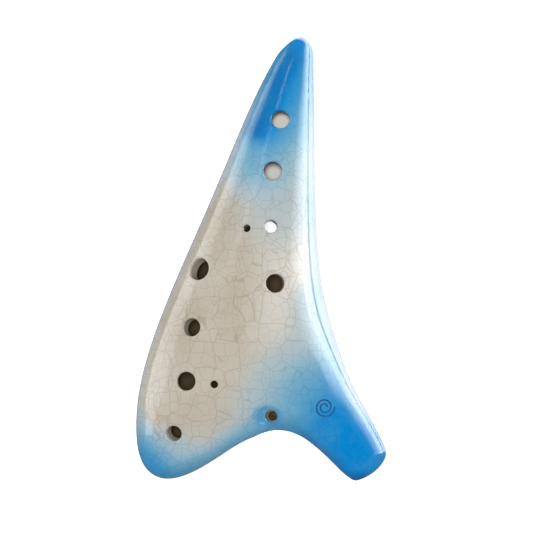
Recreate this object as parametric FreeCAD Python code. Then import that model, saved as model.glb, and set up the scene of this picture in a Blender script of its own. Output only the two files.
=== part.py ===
"""Twelve-hole transverse ocarina of glazed clay, in millimetres.

The instrument lies on its back with the finger holes upward: +Z leaves the finger-hole face, +Y runs to
the tail tip, and the mouthpiece points toward +X and -Y. Two pressed clay shells meet on the seam plane, the
solid mouthpiece is joined to them at the neck, and a coat of glaze covers them all. The glazed skin, the clay
under it and the air chamber are each a quad cage. Each cage is fitted so that its skin, one bicubic patch to
a quad, passes through the stated points.
"""

import FreeCAD
import Part
import math
import os

from FreeCAD import Vector

# Driving dimensions
WALL = 4.4
GLAZE = 0.35
SLIP = 0.6
FULLNESS = 0.73
VESSEL_CREST = 0.57
BEAK_CREST = 0.5
FIT_ROUNDS = 90

# Rings of the vessel from tail to lobe: left rim, right rim, front height, back height
VESSEL = [
    ((8.6, 81.0), (19.7, 81.0), 4.6, 4.8),
    ((4.0, 74.1), (20.3, 74.1), 7.0, 7.4),
    ((-3.7, 58.7), (20.6, 58.7), 10.4, 11.0),
    ((-12.9, 37.2), (20.8, 38.7), 13.6, 14.6),
    ((-22.1, 15.6), (21.3, 18.7), 16.6, 18.0),
    ((-31.6, -6.0), (22.4, -1.3), 19.0, 21.3),
    ((-40.2, -27.5), (25.8, -20.6), 20.2, 22.2),
    ((-46.2, -48.3), (19.0, -48.3), 20.0, 21.5),
    ((-47.8, -66.8), (-6.7, -70.3), 16.6, 18.4),
    ((-44.6, -79.9), (-20.6, -79.1), 11.0, 12.2),
]
TAIL_TIP = (15.2, 85.2)
LOBE_END = (-34.8, -84.7)

# The vessel ring that opens into the mouthpiece, and the crest of the neck that replaces its right flank
NECK_RING = 7
NECK_CREST = (12.1, -43.7)
NECK_CREST_HEIGHTS = (16.0, 17.4)

# Mouthpiece: centre of the blowing end, and directions toward the vessel and across
END_CENTRE = Vector(43.5, -82.2, 0)
INWARD = Vector(-0.625, 0.781, 0).normalize()
ACROSS = Vector(0.781, 0.625, 0).normalize()

# Rings of the mouthpiece from neck to blowing end: left rim, right rim, front height, back height
BEAK = [
    ((5.6, -66.4), (32.9, -42.9), 11.8, 13.2),
    ((16.2, -68.9), (38.7, -55.2), 9.3, 10.4),
    ((26.0, -76.8), (44.1, -64.9), 7.6, 8.4),
    ((31.2, -82.0), (47.3, -71.4), 6.9, 7.5),
    ((34.8, -84.8), (48.1, -73.9), 5.9, 6.3),
    ((37.8, -85.2), (47.7, -77.2), 4.2, 4.5),
]

# Air chamber: rings that it keeps, and where its tail and its neck close
CHAMBER_TAIL_RING = 1
CHAMBER_BEAK_RINGS = 2
CHAMBER_TIP = (12.7, 76.6)
CHAMBER_NECK_END = 15.0

# Distances from the blowing end, measured inward
JOINT_PLANE = 36.0
WINDWAY_END = 39.0
LABIUM_EDGE = 44.5
BLADE_END = 57.0

# Windway section at the blowing end and at its exit: width, and its two walls' depths below the seam plane
WINDWAY_MOUTH = (12.0, 0.9, 3.9)
WINDWAY_EXIT = (10.0, 10.0, 11.3)
WINDWAY_LEAD = 1.0
LABIUM_DEPTH = 10.7
RAMP_ANGLE = 33.0
BLADE_HEEL = (2.0, 10.4)
BLADE_BACK_DEPTH = 14.2

# Finger holes: place, radius, and the share of the skin's slope that the bore leans with
FINGER_HOLES = [
    (7.5, 52.9, 3.45, 1.0),
    (4.6, 33.3, 3.45, 1.0),
    (4.0, 12.1, 2.4, 1.0),
    (5.7, -9.4, 3.5, 1.0),
    (-23.7, -3.9, 4.2, 1.15),
    (-26.2, -26.0, 3.35, 1.2),
    (-28.0, -46.4, 3.5, 0.3),
    (-33.0, -66.4, 2.9, 1.7),
]
SUB_HOLES = [
    (-5.2, 11.4, 1.4, 1.0),
    (-17.4, -47.5, 1.4, 0.5),
]
THUMB_HOLES = [
    (2.0, 10.6, 5.2, 1.0),
    (-20.5, -33.3, 5.3, 1.0),
]
HOLE_LIP = 0.7
SUB_HOLE_LIP = 0.4
HOLE_REACH = 11.0
GLAZE_ROLL = 1.5

# Depth of the bare flat that the belly stands on
FOOT_DEPTH = 0.6

# Lanyard hole: a clay tube set through both shells, leaning so that its front looks left
LANYARD = (4.0, -60.0)
LANYARD_AXIS = Vector(-0.2, 0, 0.98).normalize()
TUBE_RADIUS = 3.6
BORE_RADIUS = 1.8
POCKET_RADIUS = 2.3
POCKET_DEPTH = 3.2
DIMPLE_CENTRE = (3.0, -59.6)
DIMPLE_RADIUS = 4.5
DIMPLE_DEPTH = 1.3

# Spiral mark drawn through the glaze of the mouthpiece
MARK_CENTRE = (24.4, -56.6)
MARK_RADII = (0.9, 3.9)
MARK_TURNS = 2.0
MARK_LINE = 0.7
MARK_POINTS = 24

FRONT_SPOTS = ("L", "LF", "CF", "RF", "R")
RING_SPOTS = ("L", "LF", "CF", "RF", "R", "RB", "CB", "LB")
BEAK_SPOTS = ("RF", "R", "RB", "CB", "LB", "L", "LF", "CF")
SECTION = {
    "L": (-1, 0),
    "LF": (-FULLNESS, FULLNESS),
    "CF": (0, 1),
    "RF": (FULLNESS, FULLNESS),
    "R": (1, 0),
    "RB": (FULLNESS, -FULLNESS),
    "CB": (0, -1),
    "LB": (-FULLNESS, -FULLNESS),
}
BIG = 300.0


def ring_points(left, right, height, crest_share):
    """The eight points of one cross-section, by spot, its crest a share of the way from left to right."""
    left = Vector(*left, 0)
    right = Vector(*right, 0)
    crest = left + (right - left) * crest_share
    points = {}
    for spot, (across, up) in SECTION.items():
        reach = (right - crest) * across if across > 0 else (crest - left) * across
        points[spot] = crest + reach + Vector(0, 0, height * up)
    return points


def outer_targets(side):
    """Points that the outer skin passes through, with the front (0) or back (1) heights on both sides."""
    targets = {}
    for number, (left, right, *heights) in enumerate(VESSEL):
        for spot, point in ring_points(left, right, heights[side], VESSEL_CREST).items():
            targets["vessel", number, spot] = point
    crest = NECK_CREST_HEIGHTS[side]
    targets["vessel", NECK_RING, "RF"] = Vector(*NECK_CREST, crest)
    targets["vessel", NECK_RING, "RB"] = Vector(*NECK_CREST, -crest)
    del targets["vessel", NECK_RING, "R"]
    for number, (left, right, *heights) in enumerate(BEAK):
        for spot, point in ring_points(left, right, heights[side], BEAK_CREST).items():
            targets["beak", number, spot] = point
    targets["tail"] = Vector(*TAIL_TIP, 0)
    targets["lobe"] = Vector(*LOBE_END, 0)
    targets["mouth"] = END_CENTRE
    return targets


def cap_faces(centre, ring):
    """Four quads that close a ring of eight, whose first spot is a rim or a crest."""
    return [(centre, ring[k], ring[k + 1], ring[(k + 2) % 8]) for k in range(0, 8, 2)]


def cage_faces(tail_ring, beak_rings):
    """All quads of a cage, turned outward: vessel, neck, mouthpiece and the three ends."""
    faces = []
    for number in range(tail_ring, len(VESSEL) - 1):
        for k, spot in enumerate(RING_SPOTS):
            after = RING_SPOTS[(k + 1) % 8]
            quad = [(number, spot), (number + 1, spot), (number + 1, after), (number, after)]
            if (NECK_RING, "R") not in quad:
                faces.append(tuple(("vessel", *corner) for corner in quad))
    near = NECK_RING - 1
    far = NECK_RING + 1
    opening = [(near, "RF"), (near, "R"), (near, "RB"), (NECK_RING, "RB")]
    opening += [(far, "RB"), (far, "R"), (far, "RF"), (NECK_RING, "RF")]
    loop = [("vessel", *corner) for corner in opening]
    for number in range(beak_rings):
        ring = [("beak", number, spot) for spot in BEAK_SPOTS]
        for k in range(8):
            faces.append((loop[(k + 1) % 8], loop[k], ring[k], ring[(k + 1) % 8]))
        loop = ring
    first = [("vessel", tail_ring, spot) for spot in RING_SPOTS]
    last = [("vessel", len(VESSEL) - 1, spot) for spot in RING_SPOTS]
    end = loop[1:] + loop[:1]
    faces += cap_faces("tail", first)
    faces += cap_faces("lobe", [last[-k % 8] for k in range(8)])
    faces += cap_faces("mouth", [end[-k % 8] for k in range(8)])
    return faces


def valences(faces):
    """How many quads meet at each vertex."""
    count = {}
    for face in faces:
        for corner in face:
            count[corner] = count.get(corner, 0) + 1
    return count


def mean(points):
    """The mean of some points."""
    total = Vector(0, 0, 0)
    for point in points:
        total += point
    return total * (1 / len(points))


def inner_points(faces, cage, count):
    """The control point of each quad's patch that lies nearest each corner."""
    inner = {}
    for face in faces:
        for k, corner in enumerate(face):
            weight = count[corner]
            beside = cage[face[k - 1]] + cage[face[(k + 1) % 4]]
            total = cage[corner] * weight + beside * 2 + cage[face[k - 2]]
            inner[face, corner] = total * (1 / (weight + 5))
    return inner


def corner_points(inner):
    """Where the skin passes over each vertex of the cage."""
    groups = {}
    for (_, corner), point in inner.items():
        groups.setdefault(corner, []).append(point)
    return {corner: mean(points) for corner, points in groups.items()}


def fit_cage(faces, targets):
    """The cage whose skin passes through the targets."""
    count = valences(faces)
    cage = dict(targets)
    for _ in range(FIT_ROUNDS):
        reached = corner_points(inner_points(faces, cage, count))
        for corner, point in reached.items():
            cage[corner] = cage[corner] + targets[corner] - point
    return cage


def patch_poles(faces, cage):
    """Sixteen control points for each quad, in rows."""
    inner = inner_points(faces, cage, valences(faces))
    corners = corner_points(inner)
    beside = {}
    for face in faces:
        for k, corner in enumerate(face):
            for other in (face[k - 1], face[(k + 1) % 4]):
                beside.setdefault((corner, other), []).append(inner[face, corner])
    edge = {pair: mean(points) for pair, points in beside.items()}
    poles = {}
    for face in faces:
        a, b, c, d = face
        poles[face] = [
            [corners[a], edge[a, d], edge[d, a], corners[d]],
            [edge[a, b], inner[face, a], inner[face, d], edge[d, c]],
            [edge[b, a], inner[face, b], inner[face, c], edge[c, d]],
            [corners[b], edge[b, c], edge[c, b], corners[c]],
        ]
    return poles


def skin_normals(poles):
    """The outward direction of the skin over each vertex."""
    groups = {}
    for face, rows in poles.items():
        grids = [rows, [list(row) for row in zip(*rows)]]
        ends = [(0, 0, 1, 1), (3, 0, -1, 1), (3, 3, -1, -1), (0, 3, 1, -1)]
        for corner, (i, j, step_i, step_j) in zip(face, ends):
            along = grids[0][i + step_i][j] - grids[0][i][j]
            across = grids[1][j + step_j][i] - grids[1][j][i]
            groups.setdefault(corner, []).append(along.cross(across) * (step_i * step_j))
    return {corner: mean(points).normalize() for corner, points in groups.items()}


def moved_inward(side, depth):
    """The outer skin's points, each moved inward along the skin's own direction there."""
    targets = outer_targets(side)
    faces = cage_faces(0, len(BEAK))
    normals = skin_normals(patch_poles(faces, fit_cage(faces, targets)))
    return {corner: targets[corner] - normal * depth for corner, normal in normals.items()}


def inset_targets(side, depth):
    """Points inside the outer skin, in one plan for front and back so that the two meet at the rim."""
    plan = moved_inward(0, depth)
    heights = moved_inward(side, depth)
    return {corner: Vector(point.x, point.y, heights[corner].z) for corner, point in plan.items()}


def clay_targets(side):
    """Points that the clay's skin passes through, under the glaze."""
    return inset_targets(side, GLAZE)


def chamber_targets(side):
    """Points that the chamber's skin passes through, a wall's thickness inside."""
    targets = inset_targets(side, WALL)
    targets["tail"] = Vector(*CHAMBER_TIP, 0)
    targets["mouth"] = END_CENTRE + INWARD * CHAMBER_NECK_END
    return targets


def is_front(face):
    """Whether a quad lies on the finger-hole side of the seam."""
    return all(corner[-1] in FRONT_SPOTS for corner in face if isinstance(corner, tuple))


def patch_face(rows):
    """One bicubic face."""
    surface = Part.BezierSurface()
    surface.increase(3, 3)
    for i, row in enumerate(rows):
        for j, pole in enumerate(row):
            surface.setPole(i + 1, j + 1, pole)
    return surface.toShape()


def half_skin(faces, cage, front):
    """The patches on one side of the seam, moved off it by half its thickness, and their rim edges."""
    lift = Vector(0, 0, SLIP / 2 if front else -SLIP / 2)
    patches = []
    rims = []
    for face, rows in patch_poles(faces, cage).items():
        if is_front(face) != front:
            continue
        rows = [[pole + lift for pole in row] for row in rows]
        patches.append(patch_face(rows))
        columns = [list(row) for row in zip(*rows)]
        for line in (rows[0], rows[3], columns[0], columns[3]):
            if max(abs(pole.z - lift.z) for pole in line) < 1e-6:
                curve = Part.BezierCurve()
                curve.setPoles(line)
                rims.append(curve.toShape())
    return patches, rims


def solid_from(faces):
    """A solid from faces that close."""
    shell = Part.makeShell(faces)
    shell.sewShape()
    solid = Part.makeSolid(Part.Shell(shell.Faces))
    if solid.Volume < 0:
        solid.reverse()
    return solid


def body_solids(faces, targets_of):
    """The front half, the back half, the seam layer between them and the three as one solid."""
    front, front_rims = half_skin(faces, fit_cage(faces, targets_of(0)), True)
    back, back_rims = half_skin(faces, fit_cage(faces, targets_of(1)), False)
    front_floor = Part.Face(Part.Wire(Part.__sortEdges__(front_rims)))
    back_floor = Part.Face(Part.Wire(Part.__sortEdges__(back_rims)))
    band = [rim.extrude(Vector(0, 0, SLIP)) for rim in back_rims]
    return {
        "front": solid_from(front + [front_floor]),
        "back": solid_from(back + [back_floor]),
        "seam": back_floor.extrude(Vector(0, 0, SLIP)),
        "whole": solid_from(front + band + back),
        "front_faces": front,
        "back_faces": back,
    }


def neck_point(inward, across, height):
    """A point from its distances along and across the mouthpiece and its height over the seam plane."""
    return END_CENTRE + INWARD * inward + ACROSS * across + Vector(0, 0, height)


def neck_block(start, end):
    """Everything between two planes square to the mouthpiece."""
    block = Part.makeBox(end - start, BIG, BIG, Vector(0, -BIG / 2, -BIG / 2))
    block.transformShape(neck_placement(start).toMatrix())
    return block


def neck_placement(start):
    """The frame of the mouthpiece: X inward, Y across to its left, Z up."""
    turn = FreeCAD.Rotation(Vector(1, 0, 0), INWARD)
    return FreeCAD.Placement(neck_point(start, 0, 0), turn)


def duct(mouth, end):
    """A tapered block between two upright rectangles, each a width and two depths below the seam plane."""
    wires = []
    for distance, (width, upper, lower) in ((-WINDWAY_LEAD, mouth), (WINDWAY_END, end)):
        half = width / 2
        corners = [(-half, -upper), (half, -upper), (half, -lower), (-half, -lower)]
        points = [neck_point(distance, across, height) for across, height in corners]
        wires.append(Part.makePolygon(points + points[:1]))
    return Part.makeLoft(wires, True, True)


def upright_prism(outline, width):
    """A block of the window's width from an outline of distances inward and heights."""
    points = [neck_point(inward, -width / 2, height) for inward, height in outline]
    face = Part.Face(Part.makePolygon(points + points[:1]))
    return face.extrude(ACROSS * width)


def skin_crossing(patches, start, direction):
    """Where a line from a point crosses the skin, and the outward direction there."""
    line = Part.makeLine(start, start + direction * BIG)
    face = min(patches, key=lambda patch: patch.distToShape(line)[0])
    point = face.distToShape(line)[1][0][0]
    normal = face.normalAt(*face.Surface.parameter(point))
    return point, normal if normal.dot(direction) > 0 else normal * -1


def skin_frame(patches, x, y, side):
    """The point of the skin over (x, y) on one side of the seam, and the outward direction there."""
    return skin_crossing(patches, Vector(x, y, 0), Vector(0, 0, side))


def hole_bores(patches, holes, lip, side):
    """Bores for a list of holes, each leaning with the slope of the skin: mouth, axis, radius and lip."""
    bores = []
    for x, y, radius, share in holes:
        mouth, normal = skin_frame(patches, x, y, side)
        upright = Vector(0, 0, side)
        axis = (upright * (1 - share) + normal * share).normalize()
        bores.append((mouth, axis, radius, lip))
    return bores


def lanyard_bores(front, back):
    """The lanyard hole's wider pocket at the front and its mouth at the back, as bores."""
    mouth, _ = skin_frame(front, *LANYARD, 1)
    rear, _ = skin_crossing(back, mouth, LANYARD_AXIS * -1)
    return [
        (mouth, LANYARD_AXIS, POCKET_RADIUS, SUB_HOLE_LIP),
        (rear, LANYARD_AXIS * -1, BORE_RADIUS, SUB_HOLE_LIP),
    ]


def lanyard_cylinder(mouth, radius):
    """A cylinder right through the instrument along the lanyard hole."""
    return Part.makeCylinder(radius, BIG, mouth - LANYARD_AXIS * (BIG / 2), LANYARD_AXIS)


def cylinder(mouth, axis, radius, depth):
    """A cylinder from a depth under the skin to well above it."""
    return Part.makeCylinder(radius, depth + HOLE_REACH, mouth - axis * depth, axis)


def rim_edges(shape, mouth, axis, radius):
    """The edges where a bore meets the skin."""
    edges = []
    for edge in shape.Edges:
        samples = [point - mouth for point in edge.discretize(5)]
        heights = [sample.dot(axis) for sample in samples]
        rounds = [abs((sample - axis * height).Length - radius) for sample, height in zip(samples, heights)]
        chord = samples[-1] - samples[0]
        upright = abs(chord.dot(axis)) > 0.95 * chord.Length
        if max(rounds) < 1e-3 and min(heights) > -radius and not upright:
            edges.append(edge)
    return edges


def dimple_ball(patches, growth):
    """The ball that hollows the dimple round the lanyard hole, or, grown, the dimple in the clay below."""
    middle, normal = skin_frame(patches, *DIMPLE_CENTRE, 1)
    radius = (DIMPLE_RADIUS**2 + DIMPLE_DEPTH**2) / (2 * DIMPLE_DEPTH)
    return Part.makeSphere(radius + growth, middle + normal * (radius - DIMPLE_DEPTH))


def mark_tool(patches):
    """A spiral groove's block, square to the skin of the mouthpiece."""
    start, end = MARK_RADII
    sides = []
    for offset in (-MARK_LINE / 2, MARK_LINE / 2):
        points = []
        for step in range(MARK_POINTS + 1):
            share = step / MARK_POINTS
            radius = start + (end - start) * share + offset
            angle = math.tau * MARK_TURNS * share
            points.append(Vector(radius * math.cos(angle), radius * math.sin(angle), -WALL / 2))
        curve = Part.BSplineCurve()
        curve.interpolate(points)
        sides.append(curve)
    inner, outer = sides
    near_end = Part.makeLine(inner.StartPoint, outer.StartPoint)
    far_end = Part.makeLine(inner.EndPoint, outer.EndPoint)
    outline = Part.Wire(Part.__sortEdges__([inner.toShape(), far_end, outer.toShape(), near_end]))
    tool = Part.Face(outline).extrude(Vector(0, 0, WALL))
    point, normal = skin_frame(patches, *MARK_CENTRE, 1)
    tool.Placement = FreeCAD.Placement(point, FreeCAD.Rotation(Vector(0, 0, 1), normal))
    return tool


def ground_block(level):
    """Everything below a level plane."""
    return Part.makeBox(BIG, BIG, BIG, Vector(-BIG / 2, -BIG / 2, level - BIG))


def windway_pieces(back):
    """The air passage, its roof, the trench that takes both, the window with its ramp, and the blade."""
    mouth_width, mouth_upper, mouth_lower = WINDWAY_MOUTH
    exit_width, exit_upper, exit_lower = WINDWAY_EXIT
    seam = SLIP / 2
    air = duct(WINDWAY_MOUTH, WINDWAY_EXIT)
    roof = duct((mouth_width, seam, mouth_upper), (exit_width, seam, exit_upper))
    trench = duct((mouth_width, seam, mouth_lower), (exit_width, seam, exit_lower))
    fall = math.tan(math.radians(RAMP_ANGLE))
    ramp_end = BLADE_END + WALL
    ramp_depth = LABIUM_DEPTH + (ramp_end - LABIUM_EDGE) * fall
    window = upright_prism(
        [
            (WINDWAY_END, -exit_upper + WALL),
            (LABIUM_EDGE, -exit_upper + WALL),
            (LABIUM_EDGE, -LABIUM_DEPTH),
            (ramp_end, -ramp_depth),
            (ramp_end, -BIG),
            (WINDWAY_END, -BIG),
        ],
        exit_width,
    )
    heel_run, heel_depth = BLADE_HEEL
    blade = upright_prism(
        [
            (LABIUM_EDGE, -LABIUM_DEPTH),
            (LABIUM_EDGE + heel_run, -heel_depth),
            (BLADE_END, -BLADE_BACK_DEPTH),
            (BLADE_END, -LABIUM_DEPTH - (BLADE_END - LABIUM_EDGE) * fall),
        ],
        exit_width,
    )
    return air, roof.common(back), trench, window, blade.common(back)


def ocarina():
    """Every piece by name, standing on its foot over the origin."""
    skin_cage = cage_faces(0, len(BEAK))
    chamber_cage = cage_faces(CHAMBER_TAIL_RING, CHAMBER_BEAK_RINGS)
    skin = body_solids(skin_cage, outer_targets)
    clay = body_solids(skin_cage, clay_targets)
    inner = body_solids(chamber_cage, chamber_targets)
    front_faces = skin["front_faces"]
    back_faces = skin["back_faces"]

    beak = neck_block(-BIG, JOINT_PLANE - SLIP / 2)
    joint = neck_block(JOINT_PLANE - SLIP / 2, JOINT_PLANE + SLIP / 2)
    vessel = neck_block(JOINT_PLANE + SLIP / 2, BIG)
    solid_neck = neck_block(-BIG, WINDWAY_END)
    chamber = {name: inner[name].cut(solid_neck) for name in ("front", "back", "seam")}

    front_bores = hole_bores(front_faces, FINGER_HOLES, HOLE_LIP, 1)
    front_bores += hole_bores(front_faces, SUB_HOLES, SUB_HOLE_LIP, 1)
    back_bores = hole_bores(back_faces, THUMB_HOLES, HOLE_LIP, -1)
    cord_bores = lanyard_bores(front_faces, back_faces)
    cord_mouth = cord_bores[0][0]
    cord_hole = lanyard_cylinder(cord_mouth, BORE_RADIUS)
    tube = lanyard_cylinder(cord_mouth, TUBE_RADIUS)
    reaches = [(bore, HOLE_REACH) for bore in front_bores + back_bores]
    reaches += [(bore, POCKET_DEPTH) for bore in cord_bores]
    bores = [cylinder(mouth, axis, radius, depth) for (mouth, axis, radius, _), depth in reaches]
    collars = [cylinder(mouth, axis, radius + GLAZE, GLAZE_ROLL) for (mouth, axis, radius, _), _ in reaches]
    dimple = dimple_ball(front_faces, GLAZE)
    cuts = [*bores, *collars, dimple]
    box = skin["whole"].optimalBoundingBox(False, False)
    foot_level = box.ZMin + FOOT_DEPTH
    foot = ground_block(foot_level)

    air, roof, trench, window, blade = windway_pieces(clay["back"])
    glazed = skin["whole"].cut([*bores, cord_hole, dimple_ball(front_faces, 0), air, window, foot])
    for mouth, axis, radius, lip in front_bores + back_bores + cord_bores:
        glazed = glazed.makeFillet(lip, rim_edges(glazed, mouth, axis, radius))
    core = clay["whole"].cut([*collars, dimple])
    back_cuts = [window, blade, foot, *cuts]

    pieces = {
        "glaze_coat": glazed.cut(core).cut(mark_tool(front_faces)),
        "front_shell": clay["front"].common(vessel).cut([chamber["front"], tube, *cuts]),
        "back_shell": clay["back"].common(vessel).cut([chamber["back"], tube, trench, *back_cuts]),
        "vessel_seam_slip": clay["seam"].common(vessel).cut([chamber["seam"], tube]),
        "mouthpiece_top": clay["front"].common(beak),
        "mouthpiece_bottom": clay["back"].common(beak).cut([tube, trench]),
        "mouthpiece_seam_slip": clay["seam"].common(beak),
        "neck_slip": clay["whole"].common(joint).cut([tube, trench]),
        "windway_roof": roof,
        "labium_blade": blade,
        "lanyard_tube": clay["whole"].common(tube).cut([cord_hole, *cuts]),
    }
    for shape in pieces.values():
        shape.translate(Vector(-box.Center.x, -box.Center.y, -foot_level))
    return pieces


def main():
    """Write each piece."""
    os.makedirs("parts", exist_ok=True)
    for name, shape in ocarina().items():
        shape.exportStep(f"parts/{name}.step")
        print(name, len(shape.Solids), len(shape.Faces), round(shape.Volume), shape.isValid())


main()
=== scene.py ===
"""Looks of a glazed clay ocarina, in metres: crackled cream glaze with airbrushed blue, and bare clay inside.

It lies in a white studio, where cards that only reflections see give the glaze its edges and its streak.
"""

import bpy
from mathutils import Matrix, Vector


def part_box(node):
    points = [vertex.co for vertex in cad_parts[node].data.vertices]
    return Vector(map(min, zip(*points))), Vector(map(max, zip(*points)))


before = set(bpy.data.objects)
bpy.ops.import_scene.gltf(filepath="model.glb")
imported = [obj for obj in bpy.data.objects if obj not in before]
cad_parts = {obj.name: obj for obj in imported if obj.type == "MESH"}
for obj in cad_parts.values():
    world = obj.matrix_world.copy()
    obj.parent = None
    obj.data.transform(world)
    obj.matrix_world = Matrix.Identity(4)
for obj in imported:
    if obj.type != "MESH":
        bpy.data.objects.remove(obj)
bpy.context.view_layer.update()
LOW, HIGH = (Vector(corner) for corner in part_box("glaze_coat"))
SIZE = HIGH - LOW
MIDDLE = (LOW + HIGH) / 2


def colour(red, green, blue):
    """A linear colour from screen values between 0 and 255."""
    linear = []
    for value in (red, green, blue):
        share = value / 255
        linear.append(share / 12.92 if share <= 0.04045 else ((share + 0.055) / 1.055) ** 2.4)
    return (*linear, 1.0)


# Camera: straight down on the finger holes, its distance taken from half the object's height
FRAME_WIDTH = 0.2052
CAMERA_DISTANCE = 0.9
SENSOR_MM = 36.0
CLIP_END = 20.0
AIM = Vector((0.0021, -0.0030))

# Airbrushed blue: strokes between two points, as shares of the outline's width and length, with the radius
# of the full colour and the radius where it has faded, in metres, and its strength
STROKES = [
    ((0.69, 1.05), (0.51, 0.79), 0.001, 0.014, 1.0),
    ((0.68, 0.86), (0.49, 0.72), 0.001, 0.020, 0.6),
    ((0.99, 0.83), (0.14, 1.07), 0.001, 0.033, 0.45),
    ((0.91, 0.04), (0.87, 0.08), 0.006, 0.029, 1.0),
    ((0.79, 0.12), (0.77, 0.18), 0.001, 0.026, 0.7),
    ((0.71, 0.16), (0.83, 0.18), 0.003, 0.033, 0.5),
    ((0.10, -0.01), (0.10, -0.13), 0.005, 0.027, 0.6),
    ((-0.12, 0.11), (0.20, -0.14), 0.004, 0.021, 0.9),
    ((0.33, -0.03), (0.55, 0.05), 0.013, 0.022, 0.65),
    ((0.74, 0.95), (0.76, 0.60), 0.001, 0.014, 0.40),
    ((0.78, 0.40), (0.90, 0.22), 0.002, 0.018, 0.45),
    ((0.60, 0.90), (0.60, 0.63), 0.000, 0.038, 0.22),
    ((0.85, 0.12), (0.68, 0.20), 0.000, 0.044, 0.26),
    ((0.05, -0.04), (0.45, 0.02), 0.000, 0.042, 0.18),
    ((0.70, 0.40), (0.76, 0.32), 0.000, 0.020, 0.12),
    ((0.745, 0.62), (0.755, 0.44), 0.001, 0.009, 0.48),
    ((0.505, 0.155), (0.545, 0.148), 0.002, 0.0052, 0.50),
]

# The same for painted shade, a darker blue: the tail's left flank, the mouthpiece's lower edge and its corner
SHADE_STROKES = [
    ((0.61, 0.95), (0.48, 0.79), 0.0005, 0.0070, 0.45),
    ((0.66, 0.09), (0.87, -0.01), 0.0005, 0.0060, 0.50),
    ((0.88, -0.005), (0.90, 0.00), 0.0005, 0.0060, 0.70),
]

# The same for a painted highlight, a paler cream along the body's right side
HIGHLIGHT_STROKES = [
    ((0.71, 0.56), (0.70, 0.36), 0.0060, 0.0300, 0.90),
]

# Noises: patches to the metre, detail, and roughness where it isn't a half
SPRAY_DRIFT = (90.0, 3.0)
CLOUDS = (38.0, 4.0, 0.55)
SPECKS = (2600.0, 1.0)
FINE_PATCHES = (60.0, 2.0)
HAIR_PATCHES = (45.0, 1.0)
SWELL = (120.0, 2.0)
MOTTLE = (160.0, 5.0, 0.6)
SAND = (2400.0, 2.0, 0.6)

# How a noise between two levels becomes a strength between two more
SPECK_STRENGTH = (0.60, 0.72, 0.0, 0.10)
FINE_STRENGTH = (0.34, 0.60, 0.55, 1.0)
HAIR_STRENGTH = (0.50, 0.68, 0.0, 0.5)
SAND_STRENGTH = (0.55, 0.75, 0.0, 0.35)
GLAZE_ROUGHNESS = (0.3, 0.8, 0.07, 0.13)
CLAY_ROUGHNESS = (0.3, 0.7, 0.62, 0.86)

# The range over which the airbrush's coat drifts, as a share of itself
DRIFT_SHARE = 0.22

# Cream from its darker clouds to its paler ones
CREAM_STOPS = [
    (0.30, colour(188, 179, 161)),
    (0.52, colour(196, 188, 172)),
    (0.75, colour(206, 200, 187)),
]

# The airbrushed colour, from the thinnest mist to the full coat, and how much of a coat hides the cream
BLUE_STOPS = [
    (0.00, colour(196, 191, 178)),
    (0.14, colour(186, 195, 195)),
    (0.35, colour(168, 193, 204)),
    (0.60, colour(132, 182, 206)),
    (0.80, colour(96, 166, 206)),
    (0.92, colour(60, 152, 207)),
    (1.00, colour(3, 138, 213)),
]
MIST_COVERS_AT = 0.24

# Painted highlight: the paler cream along the right side
HIGHLIGHT_CREAM = colour(228, 225, 218)
# Painted shade: the darker blue on the tail's left flank and the mouthpiece's lower edge
SHADE_BLUE = colour(2, 90, 152)
# Painted reflection: the pale grey on the steep sides
REFLECTION_GREY = colour(210, 217, 228)
SPECK_BROWN = colour(150, 138, 116)
CRACK_BROWN = colour(140, 118, 104)
CRACK_BLUE = colour(20, 76, 128)
# Painted shade and light in the back shell: a darker copy of the clay, and white toward the tail
CHAMBER_SHADE_DARK = colour(74, 64, 46)
CHAMBER_SHADE_PALE = colour(96, 84, 62)
TAIL_LIGHT_WHITE = colour(250, 248, 243)
FLOOR_WHITE = colour(240, 240, 240)

# The painted grey reflection on the steep sides: its strength, its fade with the distance from half height in
# metres, its fade toward the lobe and the tail as shares of the length, and the stroke over the notch that it
# leaves out
REFLECTION_STRENGTH = 0.8
REFLECTION_FADE = (0.0040, 0.0095)
LOBE_FADE = (0.05, 0.20)
TAIL_FADE = (0.72, 0.92)
NOTCH_STROKE = ((0.45, 0.08), (0.85, 0.00), 0.016, 0.030)

# The three nets of cracks, from the longest to the finest: cells to the metre, the distance from a crack's
# middle where it has faded in metres, the shift of the pattern, and how irregular the cells are
LONG_CRACKS = (110.0, 0.00024, (0.013, 0.029, 0.007), 0.65)
FINE_CRACKS = (215.0, 0.00022, (0.31, 0.17, 0.05), 0.6)
HAIR_CRACKS = (360.0, 0.00016, (0.11, 0.57, 0.23), 0.8)

# The most that a net is bent, in cells, and how fine the bends are against the net
CRACK_BEND = 0.45
BEND_SCALE = 0.8

# The most that the finer nets move from cell to cell, in metres, so that their cracks stop at coarser ones
FINE_SHIFT = 0.9
HAIR_SHIFT = 0.7

# How much blue lies round a crack, and how much of its own colour it shows there; where it turns from brown
# to blue; and how much rougher it is than the glaze
CRACK_SHARE = (0.1, 0.8, 0.36, 0.20)
CRACK_TURNS = (0.1, 0.7)
CRACK_ROUGHNESS = 0.10

# Relief: depth in metres and strength
SWELL_RELIEF = (0.0002, 0.25)
CRACK_RELIEF = (0.00002, 0.5)
CLAY_RELIEF = (0.00012, 0.7)
SAND_HEIGHT = 0.35

# The mottle's levels for the clay's dark and light colours
CLAY_LEVELS = (0.30, 0.72)

# The chamber's roughness, and how strongly each material bends light
CHAMBER_ROUGHNESS = 0.7
GLAZE_IOR = 1.55
CLAY_IOR = 1.5

# Where the painted light, a white wash inside the tail, begins and covers, as shares of the outline's length,
# and how ragged its edge is
TAIL_LIGHT_START = 0.60
TAIL_LIGHT_FULL = 0.66
TAIL_LIGHT_RAGGED = 0.04

# Studio floor and surroundings
FLOOR_RADIUS = 3.0
FLOOR_GLOW = 0.50
SKY_TINT = (0.93, 0.96, 1.0, 1)
SKY_LEVEL = 0.16

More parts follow.
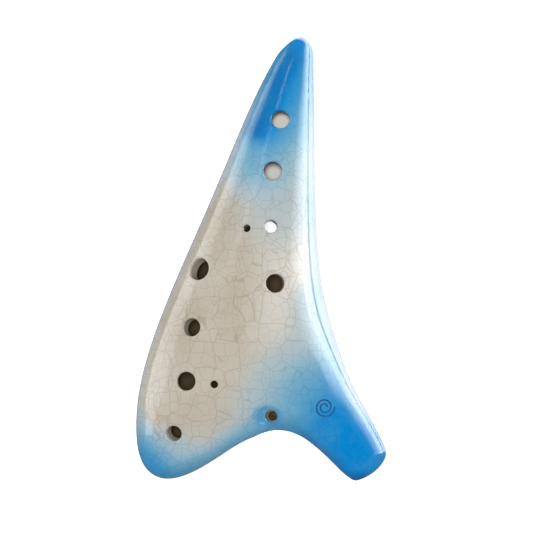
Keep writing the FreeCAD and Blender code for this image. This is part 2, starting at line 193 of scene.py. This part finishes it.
# Soft lights that face one point: name, place, width and depth, power in watts, tint
LIGHT_TARGET = Vector((0, 0, 0.02))
WARM_WHITE = (1.0, 0.99, 0.97)
COOL_WHITE = (0.97, 0.99, 1.0)
LIGHTS = [
    ("left_key", (-0.45, 0.15, 0.75), (0.6, 0.5), 1.7, WARM_WHITE),
    ("right_key", (0.70, 0.05, 0.55), (0.8, 0.5), 1.3, COOL_WHITE),
    ("overhead", (-0.02, 0.02, 1.3), (0.16, 0.16), 9.8, WARM_WHITE),
]

# Cards seen only as reflections. Those that fade: name, corners in turn, brightness at the first edge and
# at the edge across from it
CARD_TINT = (0.95, 0.98, 1.0, 1.0)
RIGHT_CARD = [(0.60, -0.12, 0.001), (0.60, 0.9, 0.001), (0.37, 0.9, 0.43), (0.37, -0.12, 0.43)]
LEFT_CARD = [(-0.60, -0.20, 0.001), (-0.60, 0.8, 0.001), (-0.50, 0.8, 0.30), (-0.50, -0.20, 0.30)]
TAIL_STRIP = [(-0.25, 0.83, 0.86), (-0.18, 0.80, 0.89), (-0.52, -0.05, 0.89), (-0.59, -0.02, 0.86)]
FADING_CARDS = [
    ("right_card", RIGHT_CARD, 12.0, 0.0),
    ("left_card", LEFT_CARD, 3.3, 1.8),
    ("tail_strip", TAIL_STRIP, 2.6, 0.0),
]

# A black card that keeps the sky out of the reflections
CEILING = [(-0.6, -0.9, 1.1), (-0.6, 0.9, 1.1), (0.6, 0.9, 1.1), (0.6, -0.9, 1.1)]

# Cards just over the floor: opposite corners in plan, and brightness. The gap between the two on the right
# is the thin dark line along the right edge
FLOOR_CARD_HEIGHT = 0.0006
RIGHT_NEAR_FLOOR = ((0.0, -0.075), (0.097, 0.5), 6.5)
RIGHT_FAR_FLOOR = ((0.124, -0.09), (0.60, 0.5), 8.5)
LEFT_FLOOR = ((-0.60, -0.045), (-0.15, 0.5), 3.0)

# The right near card is dimmer close to the right-hand outline: the outline as lines, in shares, the two
# radii of the dimming in metres, and the brightness there
RIGHT_OUTLINE = [
    ((0.71, 0.97), (0.73, 0.48)),
    ((0.73, 0.48), (0.78, 0.35)),
    ((0.78, 0.35), (1.00, 0.07)),
]
OUTLINE_RADII = (0.002, 0.055)
OUTLINE_LEVEL = 1.0


def set_plain_look():
    """A plain look transform, so that white is white."""
    scene = bpy.context.scene
    scene.view_settings.view_transform = "Standard"
    scene.view_settings.look = "None"


class Graph:
    """A material's nodes, made by short calls that take sockets or plain values."""

    def __init__(self, name):
        self.material = bpy.data.materials.new(name)
        self.material.use_nodes = True
        self.tree = self.material.node_tree
        self.tree.nodes.clear()

    def set(self, socket, value):
        """Link a socket to the value if it is one too, or else make the value its own."""
        if isinstance(value, bpy.types.NodeSocket):
            self.tree.links.new(value, socket)
        else:
            socket.default_value = value

    def node(self, kind, inputs=(), **settings):
        node = self.tree.nodes.new(kind)
        for key, value in settings.items():
            setattr(node, key, value)
        for key, value in dict(inputs).items():
            self.set(node.inputs[key], value)
        return node

    def math(self, operation, first, second=0.0, clamp=False):
        node = self.node("ShaderNodeMath", {0: first, 1: second}, operation=operation, use_clamp=clamp)
        return node.outputs[0]

    def inverse(self, share):
        """What is left of 1."""
        return self.math("SUBTRACT", 1.0, share)

    def clamped(self, value):
        """The value kept between 0 and 1."""
        return self.math("ADD", value, 0.0, clamp=True)

    def vector(self, operation, first, second):
        node = self.node("ShaderNodeVectorMath", {0: first, 1: second}, operation=operation)
        return node.outputs["Vector"]

    def measure(self, operation, first, second):
        """A vector operation whose result is a number."""
        node = self.node("ShaderNodeVectorMath", {0: first, 1: second}, operation=operation)
        return node.outputs["Value"]

    def scaled(self, vector, factor):
        node = self.node("ShaderNodeVectorMath", {0: vector, "Scale": factor}, operation="SCALE")
        return node.outputs["Vector"]

    def noise(self, vector, scale, detail, roughness=0.5, output="Fac"):
        inputs = {"Vector": vector, "Scale": scale, "Detail": detail, "Roughness": roughness}
        return self.node("ShaderNodeTexNoise", inputs).outputs[output]

    def smooth(self, value, low, high, to_low=0.0, to_high=1.0):
        inputs = {"Value": value, "From Min": low, "From Max": high, "To Min": to_low, "To Max": to_high}
        return self.node("ShaderNodeMapRange", inputs, interpolation_type="SMOOTHSTEP").outputs[0]

    def mix(self, factor, first, second):
        """Two colours mixed. The node's sockets 6, 7 and 2 are its colour ones."""
        node = self.node("ShaderNodeMix", data_type="RGBA", clamp_factor=True)
        for socket, value in zip((node.inputs[0], node.inputs[6], node.inputs[7]), (factor, first, second)):
            self.set(socket, value)
        return node.outputs[2]

    def ramp(self, value, stops):
        stops = list(stops)
        node = self.node("ShaderNodeValToRGB", {"Fac": value})
        elements = node.color_ramp.elements
        while len(elements) < len(stops):
            elements.new(0.5)
        for element, (position, shade) in zip(elements, stops):
            element.position = position
            element.color = shade
        return node.outputs["Color"]

    def place(self):
        return self.node("ShaderNodeTexCoord").outputs["Object"]

    def bump(self, height, distance, strength, under=None):
        inputs = {"Height": height, "Distance": distance, "Strength": strength}
        if under is not None:
            inputs["Normal"] = under
        return self.node("ShaderNodeBump", inputs).outputs[0]

    def finish(self, inputs):
        shader = self.node("ShaderNodeBsdfPrincipled", inputs)
        self.node("ShaderNodeOutputMaterial", {"Surface": shader.outputs[0]})
        return self.material


def plan_point(shares):
    """A point of the plan from its shares of the outline's width and length."""
    return Vector((LOW.x + shares[0] * SIZE.x, LOW.y + shares[1] * SIZE.y, 0))


def stroke_mask(graph, place, start, end, full, faded):
    """1 near the line from start to end in plan, falling to 0 at the faded radius."""
    first = plan_point(start)
    along = plan_point(end) - first
    plan = graph.vector("MULTIPLY", place, (1, 1, 0))
    offset = graph.vector("SUBTRACT", plan, first)
    share = graph.clamped(graph.measure("DOT_PRODUCT", offset, along / along.length_squared))
    nearest = graph.scaled(along, share)
    distance = graph.measure("DISTANCE", offset, nearest)
    return graph.smooth(distance, full, faded, 1.0, 0.0)


def spray_mask(graph, place, strokes):
    """How much colour the airbrush left, from none at 0 to a full coat at 1."""
    bare = None
    for start, end, full, faded, strength in strokes:
        mask = graph.math("MULTIPLY", stroke_mask(graph, place, start, end, full, faded), strength)
        left = graph.inverse(mask)
        bare = left if bare is None else graph.math("MULTIPLY", bare, left)
    coat = graph.inverse(bare)
    cloud = graph.noise(place, *SPRAY_DRIFT)
    drift = graph.math("MULTIPLY", graph.math("SUBTRACT", cloud, 0.5), DRIFT_SHARE)
    return graph.math("ADD", coat, graph.math("MULTIPLY", drift, coat), clamp=True)


def length_share(graph, place):
    """How far along the outline a place lies, from 0 at the lobe to 1 at the tail tip."""
    offset = graph.vector("SUBTRACT", place, LOW)
    return graph.measure("DOT_PRODUCT", offset, (0, 1 / SIZE.y, 0))


def reflection_band_mask(graph, place):
    """A painted pale grey reflection on the steep sides of the body, near half height."""
    height = graph.measure("DOT_PRODUCT", graph.vector("SUBTRACT", place, MIDDLE), (0, 0, 1))
    band = graph.smooth(graph.math("ABSOLUTE", height), *REFLECTION_FADE, REFLECTION_STRENGTH, 0.0)
    along = length_share(graph, place)
    past_lobe = graph.smooth(along, *LOBE_FADE)
    before_tail = graph.smooth(along, *TAIL_FADE, 1.0, 0.0)
    ends = graph.math("MULTIPLY", past_lobe, before_tail)
    notch = stroke_mask(graph, place, *NOTCH_STROKE)
    return graph.math("MULTIPLY", graph.math("MULTIPLY", band, ends), graph.inverse(notch))


def crack_lines(graph, place, scale, width, shift, randomness):
    """Lines along the edges of bent cells, 1 on a line and 0 away from it, and each cell's own colour."""
    bend = graph.noise(place, scale * BEND_SCALE, 2.0, output="Color")
    bent = graph.vector("ADD", graph.vector("ADD", place, shift), graph.scaled(bend, CRACK_BEND / scale))
    inputs = {"Vector": bent, "Scale": scale, "Randomness": randomness}
    edge = graph.node("ShaderNodeTexVoronoi", inputs, feature="DISTANCE_TO_EDGE").outputs["Distance"]
    cell = graph.node("ShaderNodeTexVoronoi", inputs, feature="F1").outputs["Color"]
    return graph.smooth(edge, 0.0, width * scale, 1.0, 0.0), cell


def crackle(graph, place):
    """The glaze's net of cracks: long ones first, then finer ones that stop at them."""
    long_lines, cell = crack_lines(graph, place, *LONG_CRACKS)
    shifted = graph.vector("ADD", place, graph.scaled(cell, FINE_SHIFT))
    fine_lines, small_cell = crack_lines(graph, shifted, *FINE_CRACKS)
    again = graph.vector("ADD", shifted, graph.scaled(small_cell, HAIR_SHIFT))
    hair_lines, _ = crack_lines(graph, again, *HAIR_CRACKS)
    fine_strength = graph.smooth(graph.noise(place, *FINE_PATCHES), *FINE_STRENGTH)
    hair_strength = graph.smooth(graph.noise(place, *HAIR_PATCHES), *HAIR_STRENGTH)
    fine = graph.math("MULTIPLY", fine_lines, fine_strength)
    hair = graph.math("MULTIPLY", hair_lines, hair_strength)
    return graph.math("MAXIMUM", long_lines, graph.math("MAXIMUM", fine, hair))


def painted_ground(graph, place, cloud, blue):
    """The colour between the cracks: cream with a painted highlight, the coats of blue with painted shade, a
    painted grey reflection and small specks.
    """
    cream = graph.ramp(cloud, CREAM_STOPS)
    # Painted highlight: paler cream along the right side
    cream = graph.mix(spray_mask(graph, place, HIGHLIGHT_STROKES), cream, HIGHLIGHT_CREAM)
    ground = graph.mix(graph.smooth(blue, 0.0, MIST_COVERS_AT), cream, graph.ramp(blue, BLUE_STOPS))
    # Painted shade: darker blue on the tail's left flank and the mouthpiece's lower edge and corner
    ground = graph.mix(spray_mask(graph, place, SHADE_STROKES), ground, SHADE_BLUE)
    # Painted reflection: pale grey on the steep sides near half height
    ground = graph.mix(reflection_band_mask(graph, place), ground, REFLECTION_GREY)
    speck = graph.smooth(graph.noise(place, *SPECKS), *SPECK_STRENGTH)
    return graph.mix(speck, ground, SPECK_BROWN)


def glaze_material():
    """Clear crackled glaze over cream slip and airbrushed blue."""
    graph = Graph("crackle_glaze")
    place = graph.place()
    blue = spray_mask(graph, place, STROKES)
    cloud = graph.noise(place, *CLOUDS)
    ground = painted_ground(graph, place, cloud, blue)
    cracks = crackle(graph, place)
    crack_tint = graph.mix(graph.smooth(blue, *CRACK_TURNS), CRACK_BROWN, CRACK_BLUE)
    crack_share = graph.math("MULTIPLY", cracks, graph.smooth(blue, *CRACK_SHARE))
    base = graph.mix(crack_share, ground, crack_tint)
    swell = graph.bump(graph.noise(place, *SWELL), *SWELL_RELIEF)
    groove = graph.bump(graph.inverse(cracks), *CRACK_RELIEF, swell)
    haze = graph.smooth(cloud, *GLAZE_ROUGHNESS)
    roughness = graph.math("ADD", graph.math("MULTIPLY", cracks, CRACK_ROUGHNESS), haze)
    return graph.finish({"Base Color": base, "Roughness": roughness, "Normal": groove, "IOR": GLAZE_IOR})


def clay_noise(graph, place, grain):
    """Fired stoneware's mottle, its sand, and the relief that they leave."""
    mottle = graph.noise(place, *MOTTLE)
    sand = graph.noise(place, *SAND)
    height = graph.math("ADD", graph.math("MULTIPLY", sand, SAND_HEIGHT), mottle)
    depth, strength = CLAY_RELIEF
    return mottle, sand, graph.bump(height, depth * grain, strength)


def clay_material(name, dark, light, grain=1.0):
    """Bare clay: mottled, sandy and matt."""
    graph = Graph(name)
    mottle, sand, relief = clay_noise(graph, graph.place(), grain)
    base = graph.ramp(mottle, zip(CLAY_LEVELS, (dark, light)))
    base = graph.mix(graph.smooth(sand, *SAND_STRENGTH), base, dark)
    roughness = graph.smooth(mottle, *CLAY_ROUGHNESS)
    return graph.finish({"Base Color": base, "Roughness": roughness, "Normal": relief, "IOR": CLAY_IOR})


def shaded_lit_chamber_material():
    """The back shell: clay darkened as painted shade, and white toward the tail as painted light."""
    graph = Graph("chamber_painted_shade_and_light")
    place = graph.place()
    mottle, _, relief = clay_noise(graph, place, 1.0)
    # Painted shade: a darker copy of the clay than the front shell's
    clay = graph.ramp(mottle, zip(CLAY_LEVELS, (CHAMBER_SHADE_DARK, CHAMBER_SHADE_PALE)))
    waver = graph.math("MULTIPLY", graph.math("SUBTRACT", mottle, 0.5), TAIL_LIGHT_RAGGED)
    ragged = graph.math("ADD", length_share(graph, place), waver)
    # Painted light: white over the tail's chamber
    base = graph.mix(graph.smooth(ragged, TAIL_LIGHT_START, TAIL_LIGHT_FULL), clay, TAIL_LIGHT_WHITE)
    inputs = {"Base Color": base, "Roughness": CHAMBER_ROUGHNESS, "Normal": relief, "IOR": CLAY_IOR}
    return graph.finish(inputs)


def dress(material, *nodes):
    """Give CAD nodes one material."""
    for node in nodes:
        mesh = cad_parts[node].data
        mesh.materials.clear()
        mesh.materials.append(material)


def dress_nodes():
    """The finish of every piece."""
    clay = clay_material("bare_clay", colour(150, 144, 126), colour(184, 178, 160))
    tinted = clay_material("tinted_clay", colour(20, 84, 146), colour(40, 112, 174), 0.5)
    slip = clay_material("joining_slip", colour(110, 96, 78), colour(150, 136, 114), 0.7)
    # Painted shade: the lanyard tube's clay is a darker copy of the bare clay, to darken its bore
    tube = clay_material("tube_painted_shade_clay", colour(112, 98, 76), colour(160, 144, 118), 0.6)
    dress(glaze_material(), "glaze_coat")
    dress(clay, "front_shell", "windway_roof", "labium_blade")
    dress(tube, "lanyard_tube")
    dress(shaded_lit_chamber_material(), "back_shell")
    dress(tinted, "mouthpiece_top", "mouthpiece_bottom")
    dress(slip, "vessel_seam_slip", "mouthpiece_seam_slip", "neck_slip")


def make_floor():
    """A wide white sweep that the instrument lies on, bright enough to read as plain white."""
    bpy.ops.mesh.primitive_circle_add(vertices=96, radius=FLOOR_RADIUS, fill_type="NGON")
    floor = bpy.context.object
    floor.name = "studio_floor"
    inputs = {
        "Base Color": FLOOR_WHITE,
        "Roughness": 0.9,
        "Emission Color": (1.0, 1.0, 1.0, 1.0),
        "Emission Strength": FLOOR_GLOW,
    }
    floor.data.materials.append(Graph("white_floor").finish(inputs))
    floor.visible_glossy = False


def make_light(name, place, size, power, tint):
    """A soft rectangular light that leaves no highlight of its own."""
    data = bpy.data.lights.new(name, "AREA")
    data.shape = "RECTANGLE"
    data.size, data.size_y = size
    data.energy = power
    data.color = tint
    light = bpy.data.objects.new(name, data)
    light.location = place
    light.rotation_euler = (LIGHT_TARGET - Vector(place)).to_track_quat("-Z", "Y").to_euler()
    light.visible_glossy = False
    bpy.context.collection.objects.link(light)


def make_card(name, corners, level_of):
    """A card seen only as a reflection, its brightness worked out from the place on it."""
    mesh = bpy.data.meshes.new(name)
    mesh.from_pydata([Vector(corner) for corner in corners], [], [(0, 1, 2, 3)])
    card = bpy.data.objects.new(name, mesh)
    bpy.context.collection.objects.link(card)
    for ray in ("camera", "diffuse", "transmission", "volume_scatter", "shadow"):
        setattr(card, "visible_" + ray, False)
    graph = Graph(name)
    glow = graph.node("ShaderNodeEmission", {"Color": CARD_TINT, "Strength": level_of(graph)})
    graph.node("ShaderNodeOutputMaterial", {"Surface": glow.outputs[0]})
    mesh.materials.append(graph.material)


def plain_card(name, corners, level):
    """A card of one brightness."""
    make_card(name, corners, lambda graph: level)


def fading_card(name, corners, first_level, last_level):
    """A card whose brightness runs from its first edge to the one across from it."""
    first = Vector(corners[0])
    across = Vector(corners[3]) - first

    def level_of(graph):
        offset = graph.vector("SUBTRACT", graph.place(), first)
        share = graph.clamped(graph.measure("DOT_PRODUCT", offset, across / across.length_squared))
        return graph.math("ADD", graph.math("MULTIPLY", share, last_level - first_level), first_level)

    make_card(name, corners, level_of)


def floor_corners(low, high):
    """The corners of a card just over the floor, from two opposite ones in plan."""
    plan = [(low[0], low[1]), (low[0], high[1]), (high[0], high[1]), (high[0], low[1])]
    return [(x, y, FLOOR_CARD_HEIGHT) for x, y in plan]


def near_floor_card(name, low, high, level):
    """A card just over the floor that is dimmer close to the right-hand outline."""

    def level_of(graph):
        place = graph.place()
        near = None
        for start, end in RIGHT_OUTLINE:
            mask = stroke_mask(graph, place, start, end, *OUTLINE_RADII)
            near = mask if near is None else graph.math("MAXIMUM", near, mask)
        return graph.math("ADD", graph.math("MULTIPLY", near, OUTLINE_LEVEL - level), level)

    make_card(name, floor_corners(low, high), level_of)


def make_sky():
    """Dim light from all round."""
    world = bpy.data.worlds.new("studio")
    world.use_nodes = True
    background = world.node_tree.nodes["Background"]
    background.inputs["Color"].default_value = SKY_TINT
    background.inputs["Strength"].default_value = SKY_LEVEL
    bpy.context.scene.world = world


def make_lights():
    """Soft light from above and both sides, with cards that give the glaze its bright edges and streak."""
    for light in LIGHTS:
        make_light(*light)
    for card in FADING_CARDS:
        fading_card(*card)
    plain_card("dark_ceiling", CEILING, 0.0)
    near_floor_card("right_near_floor", *RIGHT_NEAR_FLOOR)
    for name, (low, high, level) in (("right_far_floor", RIGHT_FAR_FLOOR), ("left_floor", LEFT_FLOOR)):
        plain_card(name, floor_corners(low, high), level)
    make_sky()


def make_camera():
    """Straight down, with the tail tip at the top of the frame."""
    data = bpy.data.cameras.new("camera")
    data.sensor_width = SENSOR_MM
    data.lens = SENSOR_MM * CAMERA_DISTANCE / FRAME_WIDTH
    data.clip_end = CLIP_END
    camera = bpy.data.objects.new("camera", data)
    camera.location = (AIM.x, AIM.y, MIDDLE.z + CAMERA_DISTANCE)
    camera.rotation_euler = (0, 0, 0)
    bpy.context.collection.objects.link(camera)
    bpy.context.scene.camera = camera


set_plain_look()
make_camera()
dress_nodes()
make_floor()
make_lights()
